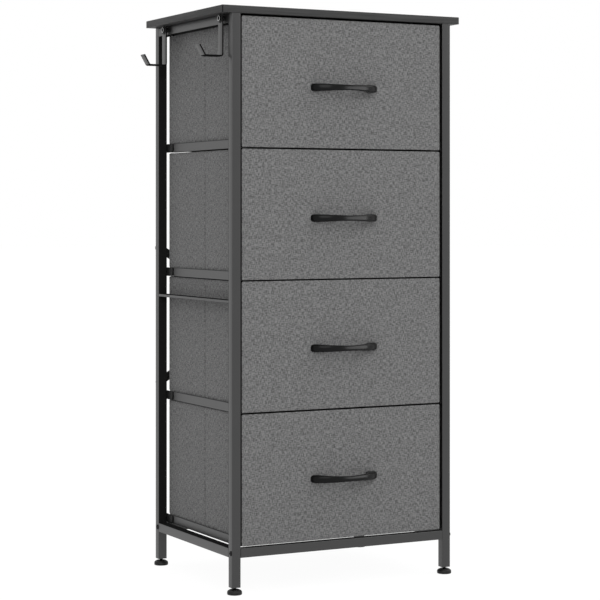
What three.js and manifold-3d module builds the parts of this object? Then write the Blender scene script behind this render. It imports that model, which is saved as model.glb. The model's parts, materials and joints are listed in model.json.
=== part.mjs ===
// Fabric drawer dresser: a steel frame with a wooden top, four fabric drawers that slide
// on angle rails, four levelling feet and two hooks on the left side.
// Millimetres. X runs to the right, the drawers pull out towards -Y, and Z is up from the
// floor. Everything is drawn about the middle of the board; the last step moves it so that
// the middle of the whole footprint, hooks and handles included, is at the origin.
import * as THREE from "three";
import { mergeVertices } from "three/addons/utils/BufferGeometryUtils.js";
import Module from "manifold-3d";

// Overall size
const totalHeight = 955;
const boardWidth = 450;
const boardDepth = 314;
const boardThickness = 12;
const frameWidth = 414.5;
const frameDepth = 312;
const fitGap = 0.3; // air between two pieces that touch

// Steel tube of the frame
const tubeWidth = 15.5;
const tubeDepth = 14;
const tubeHeight = 15.4; // of the level bars
const tubeWall = 1.2;
const postBottom = 11.5;
const bottomBarBase = 59.4;
const middleBarBase = 472.4;
const middleBarHeight = 4;
const threadPlate = 4; // closes the lower end of each post and takes the foot's stem

// Bolts through the posts into the front and rear bars
const boltDiameter = 5;
const boltLength = 27;
const boltHeadDiameter = 8.4;
const boltHeadHeight = 1.6;
const boltSocket = 3;
const boltFromPostFront = 5;
const barPlug = 13; // solid end of a bar that the bolt screws into

// Crossed flat bars at the back
const braceWidth = 14;
const braceThickness = 1.5;
const braceLowEnd = 321;
const braceHighEnd = 557;
const braceHole = 5.6;
const rivetDiameter = 5;
const rivetHeadDiameter = 9;
const rivetHeadHeight = 1.4;

// Drawers and their rails
const drawerCount = 4;
const drawerPitch = 216.1;
const lowestRail = 76.3; // underside of the lowest rail
const railHeight = 14.4;
const railThickness = 1.2;
const ledgeWidth = 16;
const railEndInset = 6; // from the outer face of the posts, front and back
const stopTabHeight = 9;
const stopTabWidth = 10;
const binTopClearance = 1; // below the rail above
const binRear = 138; // Y of the back of the bin
const binCorner = 4; // of the upright edges, outside
const wallThickness = 3;
const floorThickness = 2.4;
const baseBoardThickness = 3;

// Drawer front
const frontWidth = 377;
const frontHeight = 213.8;
const frontThickness = 8;
const frontSetback = 2.4; // behind the front face of the posts
const frontAboveRail = 0.9;
const frontCorner = 2.5;
const frontBevel = 1.2;

// Bow handle
const handleLength = 125;
const handleReach = 28;
const handleBowThickness = 6.5;
const handleFootLength = 21;
const handleFootHeight = 13;
const handleBowHeight = 10.2;
const handleBelowMiddle = 6.3;
const outerCurvePower = 2.6;
const innerCurvePower = 2.4;
const screwSpacing = 96;
const screwDiameter = 4;
const screwHeadDiameter = 8;
const screwHeadHeight = 2.2;
const screwInHandle = 9;
const screwSocket = 2.4;

// Levelling foot
const footDiameter = 24.4;
const footHeight = 8.8;
const stemDiameter = 6;
const stemTop = 36;

// Side hooks
const hookWidth = 16;
const hookThickness = 2;
const hookStandoff = 3.8; // height of the boss behind the strap
const hookTop = 942.2;
const hookTray = 876; // middle of the strip in its level stretch
const hookTrayReach = 31;
const hookTipRise = 19;
const hookTipLean = 11;
const hookBend = 3.2;
const hookScrewHeight = 935.8;
const hookScrewDiameter = 4;
const hookScrewGrip = 6;
const hookHeadDiameter = 10;
const hookHeadHeight = 3.4;
const bossDiameter = 12;
const hookFromFront = [31.5, 260];

// What follows from those
const boardBase = totalHeight - boardThickness;
const outerX = frameWidth / 2;
const innerX = outerX - tubeWidth;
const outerY = frameDepth / 2;
const innerY = outerY - tubeDepth;
const frontPlane = -outerY;
const boltHeight = bottomBarBase + tubeHeight / 2;
const boltHole = boltDiameter + 2 * fitGap;
const screwHole = screwDiameter + 2 * fitGap;
const hookScrewHole = hookScrewDiameter + 2 * fitGap;
const hookStripX = outerX + fitGap + hookStandoff; // inner face of the strap
const panelBack = frontPlane + frontSetback + frontThickness;
const binFront = panelBack + fitGap;
const binWidth = frontWidth;
const binBase = railThickness + fitGap; // above the underside of the rail
const binTop = drawerPitch - binTopClearance;
const handleZ = frontAboveRail + frontHeight / 2 - handleBelowMiddle;

// Finishes
const steelFinish = { color: 0x55565a, roughness: 0.5, metalness: 0.3 };
const boardFinish = { color: 0x4b4a4b, roughness: 0.6, metalness: 0 };
const fabricFinish = { color: 0x737475, roughness: 0.95, metalness: 0 };
const baseFinish = { color: 0x5b5c5e, roughness: 0.9, metalness: 0 };
const plasticFinish = { color: 0x1f2022, roughness: 0.3, metalness: 0 };
const rubberFinish = { color: 0x1b1b1c, roughness: 0.7, metalness: 0 };
const screwFinish = { color: 0x8d8f92, roughness: 0.35, metalness: 0.9 };
const boltFinish = { color: 0x232427, roughness: 0.4, metalness: 0.6 };

const manifold = await Module();
manifold.setup();

// A closed three.js geometry as a solid that can be cut and joined.
function toSolid(geometry) {
  const bare = geometry.index ? geometry.toNonIndexed() : geometry.clone();
  bare.deleteAttribute("normal");
  bare.deleteAttribute("uv");
  const merged = mergeVertices(bare, 1e-4);
  const mesh = new manifold.Mesh({
    numProp: 3,
    vertProperties: new Float32Array(merged.attributes.position.array),
    triVerts: new Uint32Array(merged.index.array),
  });
  return new manifold.Manifold(mesh);
}

// A solid as a three.js geometry with flat faces.
function toGeometry(solid) {
  const mesh = solid.getMesh();
  const geometry = new THREE.BufferGeometry();
  geometry.setAttribute("position", new THREE.BufferAttribute(mesh.vertProperties, 3));
  geometry.setIndex(new THREE.BufferAttribute(mesh.triVerts, 1));
  const flat = geometry.toNonIndexed();
  flat.computeVertexNormals();
  return flat;
}

function cut(geometry, ...tools) {
  const start = toSolid(geometry);
  return toGeometry(tools.reduce((rest, tool) => rest.subtract(toSolid(tool)), start));
}

function join(geometry, ...others) {
  const start = toSolid(geometry);
  return toGeometry(others.reduce((sum, other) => sum.add(toSolid(other)), start));
}

function common(a, b) {
  return toGeometry(toSolid(a).intersect(toSolid(b)));
}

// A block between two corners.
function block([x0, x1], [y0, y1], [z0, z1]) {
  const geometry = new THREE.BoxGeometry(x1 - x0, y1 - y0, z1 - z0);
  return geometry.translate((x0 + x1) / 2, (y0 + y1) / 2, (z0 + z1) / 2);
}

// A round bar along one axis, from one end to the other.
function rod(axis, diameter, from, to, [a, b], sides = 16) {
  const geometry = new THREE.CylinderGeometry(diameter / 2, diameter / 2, to - from, sides);
  const middle = (from + to) / 2;
  if (axis === "x") return geometry.rotateZ(-Math.PI / 2).translate(middle, a, b);
  if (axis === "y") return geometry.translate(a, middle, b);
  return geometry.rotateX(Math.PI / 2).translate(a, b, middle);
}

// A turned piece on the Z axis, from [radius, height] points.
function turned(points, sides = 16) {
  const profile = points.map(([r, z]) => new THREE.Vector2(r, z));
  return new THREE.LatheGeometry(profile, sides).rotateX(Math.PI / 2);
}

// A rectangle with round corners, centred on the origin.
function roundedRectangle(width, height, radius) {
  const shape = new THREE.Shape();
  const x = width / 2 - radius;
  const y = height / 2 - radius;
  shape.absarc(x, y, radius, 0, Math.PI / 2);
  shape.absarc(-x, y, radius, Math.PI / 2, Math.PI);
  shape.absarc(-x, -y, radius, Math.PI, 1.5 * Math.PI);
  shape.absarc(x, -y, radius, 1.5 * Math.PI, 2 * Math.PI);
  shape.closePath();
  return shape;
}

// A flat plate with bevelled edges, its middle at the origin and its thickness along Z.
function bevelledPlate(width, height, thickness, corner, bevel) {
  const outline = roundedRectangle(width - 2 * bevel, height - 2 * bevel, corner);
  const options = { bevelSize: bevel, bevelThickness: bevel, bevelSegments: 1 };
  const depth = thickness - 2 * bevel;
  const plate = new THREE.ExtrudeGeometry(outline, { depth, curveSegments: 3, ...options });
  return plate.translate(0, 0, -depth / 2);
}

function piece(name, geometry, finish, parent) {
  const mesh = new THREE.Mesh(geometry, new THREE.MeshStandardMaterial(finish));
  mesh.name = name;
  parent.add(mesh);
  return mesh;
}

const dresser = new THREE.Group();
dresser.name = "fabric_drawer_dresser";

// Top board

function addTopBoard() {
  const plate = bevelledPlate(boardWidth, boardDepth, boardThickness, 1.5, 0.6);
  const board = piece("top_board", plate, boardFinish, dresser);
  board.position.z = boardBase + boardThickness / 2;
}

// Frame. Everything for one side is drawn on the right, and the left is its mirror image.

function postGeometry(yFront) {
  const yBack = yFront + tubeDepth;
  const top = boardBase - fitGap;
  const yMiddle = (yFront + yBack) / 2;
  const outside = block([innerX, outerX], [yFront, yBack], [postBottom, top]);
  const hollow = block(
    [innerX + tubeWall, outerX - tubeWall],
    [yFront + tubeWall, yBack - tubeWall],
    [postBottom + threadPlate, top + 1],
  );
  const stemHole = rod(
    "z",
    stemDiameter + 2 * fitGap,
    postBottom - 1,
    postBottom + threadPlate + 1,
    [outerX - tubeWidth / 2, yMiddle],
  );
  const crossHole = rod("x", boltHole, innerX - 1, outerX + 1, [
    yFront + boltFromPostFront,
    boltHeight,
  ]);
  return cut(outside, hollow, stemHole, crossHole);
}

// A hollow bar from front post to rear post, open at its ends.
function sideBarGeometry(base, screwHoles) {
  const y = innerY - fitGap;
  const outside = block([innerX, outerX], [-y, y], [base, base + tubeHeight - fitGap]);
  const hollow = block(
    [innerX + tubeWall, outerX - tubeWall],
    [-y - 1, y + 1],
    [base + tubeWall, base + tubeHeight - fitGap - tubeWall],
  );
  return cut(outside, hollow, ...screwHoles);
}

function hookY(fromFront) {
  return frontPlane + fromFront;
}

function hookHoles() {
  return hookFromFront.map((fromFront) =>
    rod("x", hookScrewHole, outerX - 3, outerX + 1, [hookY(fromFront), hookScrewHeight]),
  );
}

function middleBarGeometry() {
  const y = innerY - fitGap;
  return block([innerX, outerX], [-y, y], [middleBarBase, middleBarBase + middleBarHeight]);
}

// An angle rail: an upright leg on the posts, a ledge under the drawer with its front end cut
// back behind the drawer front, and a tab at the back that stops the drawer.
function railGeometry() {
  const legX = innerX - fitGap;
  const legEnd = outerY - railEndInset;
  const ledgeFront = binFront;
  const ledgeBack = binRear + 2 * fitGap + railThickness;
  const ledgeX = legX - ledgeWidth;
  const leg = block([legX - railThickness, legX], [-legEnd, legEnd], [0, railHeight]);
  const ledge = block([ledgeX, legX], [ledgeFront, ledgeBack], [0, railThickness]);
  const tab = block(
    [ledgeX, ledgeX + stopTabWidth],
    [ledgeBack - railThickness, ledgeBack],
    [0, stopTabHeight],
  );
  return join(leg, ledge, tab);
}

// A low domed bolt head with a hexagon socket, and its shank, along +X from the post's face.
function boltGeometry() {
  const radius = boltHeadDiameter / 2;
  const dome = turned([
    [0, -boltLength],
    [boltDiameter / 2, -boltLength],
    [boltDiameter / 2, fitGap],
    [radius, fitGap],
    [radius, boltHeadHeight * 0.5],
    [radius * 0.8, boltHeadHeight * 0.9],
    [radius * 0.55, boltHeadHeight + fitGap],
    [0, boltHeadHeight + fitGap],
  ]);
  const socket = rod("z", boltSocket, boltHeadHeight / 2, boltHeadHeight * 2, [0, 0], 6);
  return cut(dome, socket).rotateY(Math.PI / 2);
}

function footGeometry() {
  const radius = footDiameter / 2;
  const stem = stemDiameter / 2;
  return turned(
    [
      [0, 0],
      [radius - 1.2, 0],
      [radius, 1.2],
      [radius, 4.6],
      [radius - 1.2, 6.4],
      [radius - 3.2, 7.7],
      [radius - 6, footHeight],
      [stem, footHeight],
      [stem, stemTop],
      [0, stemTop],
    ],
    24,
  );
}

function addSide(side, mirror) {
  const group = new THREE.Group();
  group.scale.x = mirror;
  dresser.add(group);
  const holes = side === "left" ? hookHoles() : [];
  piece(`${side}_top_bar`, sideBarGeometry(boardBase - tubeHeight, holes), steelFinish, group);
  piece(`${side}_bottom_bar`, sideBarGeometry(bottomBarBase, []), steelFinish, group);
  piece(`${side}_middle_bar`, middleBarGeometry(), steelFinish, group);
  for (const [end, yFront] of [
    ["front", -outerY],
    ["rear", innerY],
  ]) {
    const corner = `${end}_${side}`;
    piece(`${corner}_post`, postGeometry(yFront), steelFinish, group);
    const foot = piece(`${corner}_levelling_foot`, footGeometry(), rubberFinish, group);
    foot.position.set(outerX - tubeWidth / 2, yFront + tubeDepth / 2, 0);
    const bolt = piece(`${corner}_frame_bolt`, boltGeometry(), boltFinish, group);
    bolt.position.set(outerX, yFront + boltFromPostFront, boltHeight);
  }
  for (let level = 1; level <= drawerCount; level += 1) {
    const rail = piece(`${side}_rail_${level}`, railGeometry(), steelFinish, group);
    rail.position.z = lowestRail + drawerPitch * (drawerCount - level);
  }
}

// A bar across the front or the back, with solid ends drilled for the frame bolts.
function crossBarGeometry(yFront) {
  const x = innerX - fitGap;
  const y = yFront + boltFromPostFront;
  const outside = block([-x, x], [yFront, yFront + tubeDepth], [0, tubeHeight]);
  const hollow = block(
    [barPlug - x, x - barPlug],
    [yFront + tubeWall, yFront + tubeDepth - tubeWall],
    [tubeWall, tubeHeight - tubeWall],
  );
  const holes = [
    rod("x", boltHole, -x - 1, barPlug - x + 1, [y, tubeHeight / 2]),
    rod("x", boltHole, x - barPlug - 1, x + 1, [y, tubeHeight / 2]),
  ];
  return cut(outside, hollow, ...holes);
}

function addCrossBars() {
  for (const [name, yFront] of [
    ["front_bottom_bar", -outerY],
    ["rear_bottom_bar", innerY],
  ]) {
    const bar = piece(name, crossBarGeometry(yFront), steelFinish, dresser);
    bar.position.z = bottomBarBase;
  }
}

// A flat bar with round ends and three holes, along X, its thickness along Y.
function braceGeometry(length) {
  const radius = braceWidth / 2;
  const outline = roundedRectangle(length + braceWidth, braceWidth, radius - 0.01);
  for (const x of [-length / 2, 0, length / 2]) {
    const hole = new THREE.Path();
    hole.absarc(x, 0, braceHole / 2, 0, 2 * Math.PI, true);
    outline.holes.push(hole);
  }
  const options = { depth: braceThickness, bevelEnabled: false, curveSegments: 6 };
  return new THREE.ExtrudeGeometry(outline, options).rotateX(Math.PI / 2);
}

// The rivet that holds the two crossed bars together, along Y.
function rivetGeometry() {
  const stack = 2 * braceThickness + fitGap;
  const head = rivetHeadDiameter / 2;
  const shank = rivetDiameter / 2;
  const low = -fitGap;
  const high = stack + fitGap;
  return turned([
    [0, low - rivetHeadHeight],
    [head * 0.6, low - rivetHeadHeight],
    [head, low - 0.4],
    [head, low],
    [shank, low],
    [shank, high],
    [head, high],
    [head, high + 0.4],
    [head * 0.6, high + rivetHeadHeight],
    [0, high + rivetHeadHeight],
  ]).rotateX(-Math.PI / 2);
}

function addBraces() {
  const run = 2 * outerX - tubeWidth;
  const rise = braceHighEnd - braceLowEnd;
  const length = Math.hypot(run, rise);
  const middle = (braceLowEnd + braceHighEnd) / 2;
  const innerFace = outerY + fitGap;
  [1, -1].forEach((slope, layer) => {
    const name = slope > 0 ? "rising_brace" : "falling_brace";
    const bar = piece(name, braceGeometry(length), steelFinish, dresser);
    const front = innerFace + layer * (braceThickness + fitGap);
    bar.position.set(0, front + braceThickness, middle);
    bar.rotation.y = -slope * Math.atan2(rise, run);
  });
  const rivet = piece("brace_rivet", rivetGeometry(), boltFinish, dresser);
  rivet.position.set(0, innerFace, middle);
}

// Drawers. Each is drawn with the underside of its rail at height 0.

// A fabric box with stiff walls, open at the top, with two holes for the handle's screws.
function binGeometry() {
  const x = binWidth / 2;
  const outline = roundedRectangle(binWidth, binRear - binFront, binCorner);
  const options = { depth: binTop - binBase, bevelEnabled: false, curveSegments: 4 };
  const outside = new THREE.ExtrudeGeometry(outline, options);
  outside.translate(0, (binFront + binRear) / 2, binBase);
  const inside = block(
    [wallThickness - x, x - wallThickness],
    [binFront + wallThickness, binRear - wallThickness],
    [binBase + floorThickness, binTop + 1],
  );
  return cut(outside, inside, ...screwHoles(binFront - 1, binFront + wallThickness + 1));
}

function screwHoles(yFrom, yTo) {
  return [-1, 1].map((end) =>
    rod("y", screwHole, yFrom, yTo, [(end * screwSpacing) / 2, handleZ], 12),
  );
}

function frontPanelGeometry() {
  const plate = bevelledPlate(frontWidth, frontHeight, frontThickness, frontCorner, frontBevel);
  const z = frontAboveRail + frontHeight / 2;
  plate.rotateX(Math.PI / 2).translate(0, panelBack - frontThickness / 2, z);
  return cut(plate, ...screwHoles(panelBack - frontThickness - 1, panelBack + 1));
}

function baseBoardGeometry() {
  const edge = wallThickness + 0.6;
  const x = binWidth / 2 - edge;
  const z = binBase + floorThickness + fitGap;
  return block([-x, x], [binFront + edge, binRear - edge], [z, z + baseBoardThickness]);
}

// A superellipse arch from [-half, 0] over [0, rise] to [half, 0].
function arch(half, rise, power, steps) {
  const points = [];
  for (let i = 0; i <= steps; i += 1) {
    const angle = Math.PI * (1 - i / steps);
    const c = Math.cos(angle);
    const s = Math.sin(angle);
    const x = half * Math.sign(c) * Math.abs(c) ** (2 / power);
    points.push(new THREE.Vector2(x, rise * Math.abs(s) ** (2 / power)));
  }
  return points;
}

// The bow seen from above, its feet at Y = 0 and its middle towards -Y.
function bowPlan() {
  const half = handleLength / 2;
  const innerRise = handleReach - handleBowThickness;
  const outer = arch(half, handleReach, outerCurvePower, 24);
  const inner = arch(half - handleFootLength, innerRise, innerCurvePower, 16);
  const outline = new THREE.Shape([...outer, ...inner.reverse()]);
  const options = { depth: handleFootHeight + 2, bevelEnabled: false };
  const solid = new THREE.ExtrudeGeometry(outline, options);
  return solid.translate(0, 0, -handleFootHeight / 2 - 1).rotateX(Math.PI);
}

// The bow seen from the front: round ends, drawn in towards the middle.
function bowElevation() {
  const half = handleLength / 2;
  const endRadius = handleFootHeight / 2;
  const waist = handleBowHeight / 2;
  const shape = new THREE.Shape();
  const x = half - endRadius;
  shape.absarc(x, 0, endRadius, -Math.PI / 2, Math.PI / 2);
  shape.quadraticCurveTo(0, 2 * waist - endRadius, -x, endRadius);
  shape.absarc(-x, 0, endRadius, Math.PI / 2, 1.5 * Math.PI);
  shape.quadraticCurveTo(0, endRadius - 2 * waist, x, -endRadius);
  const options = { depth: handleReach + 4, bevelEnabled: false, curveSegments: 6 };
  return new THREE.ExtrudeGeometry(shape, options).rotateX(Math.PI / 2).translate(0, 2, 0);
}

function handleGeometry() {
  const bow = common(bowPlan(), bowElevation());
  const holes = [-1, 1].map((end) =>
    rod("y", screwHole, -screwInHandle - 1, 1, [(end * screwSpacing) / 2, 0], 12),
  );
  return cut(bow, ...holes);
}

// A pan head inside the drawer, and a shank through its front into the handle, along -Y.
function handleScrewGeometry() {
  const head = screwHeadDiameter / 2;
  const shank = screwDiameter / 2;
  const grip = wallThickness + frontThickness + 3 * fitGap + screwInHandle;
  const body = turned(
    [
      [0, -screwHeadHeight],
      [head * 0.7, -screwHeadHeight],
      [head, -screwHeadHeight * 0.4],
      [head, 0],
      [shank, 0],
      [shank, grip],
      [0, grip],
    ],
    12,
  );
  const slot = block(
    [-screwSocket, screwSocket],
    [-0.5, 0.5],
    [-screwHeadHeight - 1, -screwHeadHeight / 2],
  );
  const crossSlot = slot.clone().rotateZ(Math.PI / 2);
  return cut(body, slot, crossSlot).rotateX(Math.PI / 2);
}

function addDrawer(level) {
  const name = `drawer_${level}`;
  const group = new THREE.Group();
  group.position.z = lowestRail + drawerPitch * (drawerCount - level);
  dresser.add(group);
  piece(`${name}_bin`, binGeometry(), fabricFinish, group);
  piece(`${name}_front_panel`, frontPanelGeometry(), fabricFinish, group);
  piece(`${name}_base_board`, baseBoardGeometry(), baseFinish, group);
  const handle = piece(`${name}_handle`, handleGeometry(), plasticFinish, group);
  handle.position.set(0, frontPlane + frontSetback - fitGap, handleZ);
  for (const [side, end] of [
    ["left", -1],
    ["right", 1],
  ]) {
    const screw = piece(`${name}_${side}_screw`, handleScrewGeometry(), screwFinish, group);
    const headFace = binFront + wallThickness + fitGap;
    screw.position.set((end * screwSpacing) / 2, headFace, handleZ);
  }
}

// Hooks, drawn on the right and mirrored to the left side.

// A polyline whose corners are rounded with arcs.
function roundedPath(corners, radius, steps) {
  const points = [corners[0]];
  for (let i = 1; i < corners.length - 1; i += 1) {
    const here = corners[i];
    const back = corners[i - 1].clone().sub(here).normalize();
    const on = corners[i + 1].clone().sub(here).normalize();
    const halfAngle = Math.acos(back.dot(on)) / 2;
    const start = here.clone().addScaledVector(back, radius / Math.tan(halfAngle));
    const end = here.clone().addScaledVector(on, radius / Math.tan(halfAngle));
    const bisector = back.clone().add(on).normalize();
    const centre = here.clone().addScaledVector(bisector, radius / Math.sin(halfAngle));
    const from = start.clone().sub(centre);
    const turn = from.clone().cross(end.clone().sub(centre)) > 0 ? 1 : -1;
    for (let k = 0; k <= steps; k += 1) {
      const angle = (turn * k * (Math.PI - 2 * halfAngle)) / steps;
      points.push(from.clone().rotateAround(new THREE.Vector2(), angle).add(centre));
    }
  }
  points.push(corners[corners.length - 1]);
  return points;
}

// The outline of a strip of even thickness that follows a path.
function stripOutline(path, thickness) {
  const sides = [[], []];
  path.forEach((point, i) => {
    const before = path[Math.max(i - 1, 0)];
    const after = path[Math.min(i + 1, path.length - 1)];
    const along = after.clone().sub(before).normalize();
    const normal = new THREE.Vector2(-along.y, along.x);
    sides[0].push(point.clone().addScaledVector(normal, thickness / 2));
    sides[1].push(point.clone().addScaledVector(normal, -thickness / 2));
  });
  return new THREE.Shape([...sides[0], ...sides[1].reverse()]);
}

// A strap down from the screw, a level tray outwards and a tip that leans out. A round boss
// behind the screw hole holds the strap off the bar.
function hookGeometry() {
  const strapX = hookStripX + hookThickness / 2;
  const trayEnd = strapX + hookTrayReach;
  const corners = [
    new THREE.Vector2(strapX, hookTop),
    new THREE.Vector2(strapX, hookTray),
    new THREE.Vector2(trayEnd, hookTray),
    new THREE.Vector2(trayEnd + hookTipLean, hookTray + hookTipRise),
  ];
  const outline = stripOutline(roundedPath(corners, hookBend, 6), hookThickness);
  const options = { depth: hookWidth, bevelEnabled: false };
  const strip = new THREE.ExtrudeGeometry(outline, options).rotateX(Math.PI / 2);
  strip.translate(0, hookWidth / 2, 0);
  const bossFrom = outerX + fitGap;
  const boss = rod("x", bossDiameter, bossFrom, strapX, [0, hookScrewHeight], 24);
  const hole = rod("x", hookScrewHole, bossFrom - 1, strapX + 5, [0, hookScrewHeight]);
  return cut(join(strip, boss), hole);
}

function hookScrewGeometry() {
  const head = hookHeadDiameter / 2;
  const shank = hookScrewDiameter / 2;
  const grip = hookStandoff + hookThickness + 2 * fitGap + hookScrewGrip;
  const body = turned([
    [0, -grip],
    [shank, -grip],
    [shank, 0],
    [head, 0],
    [head, hookHeadHeight - 0.5],
    [head - 0.5, hookHeadHeight],
    [0, hookHeadHeight],
  ]);
  const socket = rod("z", head, hookHeadHeight / 2, hookHeadHeight + 1, [0, 0], 6);
  return cut(body, socket).rotateY(Math.PI / 2);
}

function addHooks() {
  const group = new THREE.Group();
  group.scale.x = -1;
  dresser.add(group);
  ["front", "rear"].forEach((name, i) => {
    const y = hookY(hookFromFront[i]);
    piece(`${name}_hook`, hookGeometry(), steelFinish, group).position.y = y;
    const screw = piece(`${name}_hook_screw`, hookScrewGeometry(), boltFinish, group);
    screw.position.set(hookStripX + hookThickness + fitGap, y, hookScrewHeight);
  });
}

function centreFootprint() {
  const middle = new THREE.Box3().setFromObject(dresser).getCenter(new THREE.Vector3());
  middle.z = 0;
  dresser.children.forEach((child) => child.position.sub(middle));
}

addTopBoard();
addSide("left", -1);
addSide("right", 1);
addCrossBars();
addBraces();
for (let level = 1; level <= drawerCount; level += 1) addDrawer(level);
addHooks();
centreFootprint();

export default dresser;
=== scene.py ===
# %% [markdown]
# # A fabric drawer dresser
#
# This lesson dresses a tall, narrow dresser: a powder-coated steel tube frame, a wooden
# top, and four fabric drawers with bow handles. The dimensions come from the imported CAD
# frame: every piece below is worked out from the box of the node that it stands for or is
# fixed to. The small offsets that only the photograph shows, such as the play of a handle,
# have names of their own. All lengths are in metres, and `MM` turns millimetres into them.

import json
import math

import bmesh
import bpy
from mathutils import Matrix, Vector, noise


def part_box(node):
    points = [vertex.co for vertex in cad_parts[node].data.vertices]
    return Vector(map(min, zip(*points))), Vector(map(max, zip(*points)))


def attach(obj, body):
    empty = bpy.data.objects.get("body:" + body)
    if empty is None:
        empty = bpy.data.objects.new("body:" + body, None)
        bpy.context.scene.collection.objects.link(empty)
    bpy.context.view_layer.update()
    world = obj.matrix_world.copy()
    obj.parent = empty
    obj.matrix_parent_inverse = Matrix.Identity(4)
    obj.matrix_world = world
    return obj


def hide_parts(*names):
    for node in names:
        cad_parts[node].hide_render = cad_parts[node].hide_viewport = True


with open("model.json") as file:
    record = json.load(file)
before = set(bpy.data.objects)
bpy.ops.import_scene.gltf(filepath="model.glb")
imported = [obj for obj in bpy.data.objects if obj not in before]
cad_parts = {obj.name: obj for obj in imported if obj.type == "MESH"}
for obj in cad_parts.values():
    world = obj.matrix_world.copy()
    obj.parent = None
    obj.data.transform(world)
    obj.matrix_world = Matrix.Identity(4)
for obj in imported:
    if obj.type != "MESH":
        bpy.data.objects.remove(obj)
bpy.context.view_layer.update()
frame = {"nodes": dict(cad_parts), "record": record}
MM = 0.001
LEVELS = (1, 2, 3, 4)
SIDES = ("left", "right")
CORNERS = ("front_left", "front_right", "rear_left", "rear_right")
X, Y, Z = range(3)
HAIR = 0.05 * MM  # the gap that is left where two faces would lie in one plane


def measured(node):
    """A CAD node's box: its low and high corners, its middle and its size."""
    low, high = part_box(node)
    return low, high, (low + high) / 2, high - low


def middle_of(node):
    return measured(node)[2]


# %% [markdown]
# ## Small helpers
#
# Both materials and Geometry Nodes are node trees, so one function adds a node to either
# kind: it takes the settings as keywords, and a dictionary that says what goes into which
# input. A value is written into the socket, and another node's output is linked to it. Most
# nodes have one output that matters, so a second function gives just that.

# %% Node helper
def add(tree, kind, inputs=None, **settings):
    node = tree.nodes.new(kind)
    for key, value in settings.items():
        setattr(node, key, value)
    for socket, value in (inputs or {}).items():
        if isinstance(value, bpy.types.NodeSocket):
            tree.links.new(value, node.inputs[socket])
        else:
            node.inputs[socket].default_value = value
    return node


def output(tree, kind, inputs=None, **settings):
    """Adds a node and gives its first output."""
    return add(tree, kind, inputs, **settings).outputs[0]


def calculate(tree, operation, a, b=0.0):
    return output(tree, "ShaderNodeMath", {0: a, 1: b}, operation=operation)


def show(name, data):
    """Puts an object with this mesh, curve, lamp or camera in the scene."""
    thing = bpy.data.objects.new(name, data)
    bpy.context.scene.collection.objects.link(thing)
    return thing


def linear(hex_colour):
    """An sRGB colour such as #1f2022 as the linear colour that a shader wants."""
    channels = [int(hex_colour[i : i + 2], 16) / 255 for i in (1, 3, 5)]
    return [c / 12.92 if c <= 0.04045 else ((c + 0.055) / 1.055) ** 2.4 for c in channels] + [1]


print("mid grey", [round(x, 3) for x in linear("#808080")])

# %% [markdown]
# ## Materials
#
# Each finish is named for what the real one is. A finish starts from a Principled shader
# with the typical colour, roughness and reflection of that material. Its pattern is then
# laid on object coordinates, which are metres here, so a noise scale of `1 / 0.001` makes
# grains of about a millimetre.

# %% A shader to start from
def finish(name, colour, roughness, **fixed):
    """A material, its tree and its Principled shader. A keyword sets the socket of that name."""
    material = bpy.data.materials.new(name)
    material.use_nodes = True
    tree = material.node_tree
    surface = tree.nodes["Principled BSDF"]
    surface.inputs["Base Color"].default_value = linear(colour)
    surface.inputs["Roughness"].default_value = roughness
    for key, value in fixed.items():
        surface.inputs[key.replace("_", " ")].default_value = value
    return material, tree, surface


def grain(tree, size, coordinates=None, detail=2.0, roughness=0.5):
    """Noise with grains of a size in metres. It gives a value around one half."""
    place = coordinates or add(tree, "ShaderNodeTexCoord").outputs["Object"]
    settings = {"Vector": place, "Scale": 1 / size, "Detail": detail, "Roughness": roughness}
    return output(tree, "ShaderNodeTexNoise", settings)


def shades(tree, value, dark, light, low=0.3, high=0.7):
    """Turns a value into a colour between two shades."""
    ramp = add(tree, "ShaderNodeValToRGB", {"Fac": value})
    for stop, position, shade in zip(ramp.color_ramp.elements, (low, high), (dark, light)):
        stop.position = position
        stop.color = linear(shade)
    return ramp.outputs["Color"]


def paint(tree, surface, value, *between):
    tree.links.new(shades(tree, value, *between), surface.inputs["Base Color"])


def bump(tree, surface, height, depth, strength=1.0, below=None):
    """Lets a value between 0 and 1 raise the surface by a depth in metres."""
    inputs = {"Height": height, "Distance": depth, "Strength": strength}
    if below:
        inputs["Normal"] = below
    raised = output(tree, "ShaderNodeBump", inputs)
    tree.links.new(raised, surface.inputs["Normal"])
    return raised


print("helpers ready")

# %% [markdown]
# ### Powder coat on steel
#
# The tubes, rails, braces and hooks are mild steel under a dark grey powder coat. The
# powder melts in an oven and leaves a fine orange peel: grains of about a millimetre, a few
# hundredths deep, which soften every highlight. The paint itself is a dielectric, so
# nothing here is metallic. The pigment is nearly black, and the grey that the eye sees is
# the white room in the clear film over it: an index of 1.66 reflects a little more than
# plain paint does, and it makes a face that is seen aslant lighter than one seen straight on.

# %% Powder coat
def powder_coat(name, dark, light, roughness):
    material, tree, surface = finish(name, light, roughness, IOR=1.66)
    paint(tree, surface, grain(tree, 60 * MM), dark, light)
    bump(tree, surface, grain(tree, 1.1 * MM, detail=1.0), 0.05 * MM, 0.35)
    return material


STEEL = powder_coat("powder_coated_steel", "#0c0c0c", "#101010", 0.36)
print(STEEL.name)

# %% [markdown]
# ### Wood-grain foil
#
# The top is fibreboard under a printed foil, dark grey with a faint straight grain. A foil
# grain is noise stretched twenty times along one direction. On the top and the front edge
# it runs along the width, and on the end edges, which have their own band of foil, along
# the depth: the face's normal says which of the two a point is on. Where two bands meet at
# a corner, the dark glue shows as a thin line, which the distance to the corner gives.

# %% Foil
SEAM = 1.4 * MM  # from a corner, where the two bands of foil meet and the dark glue shows
FIBRE_LENGTH, FIBRE_WIDTH = 90 * MM, 4 * MM


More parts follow.
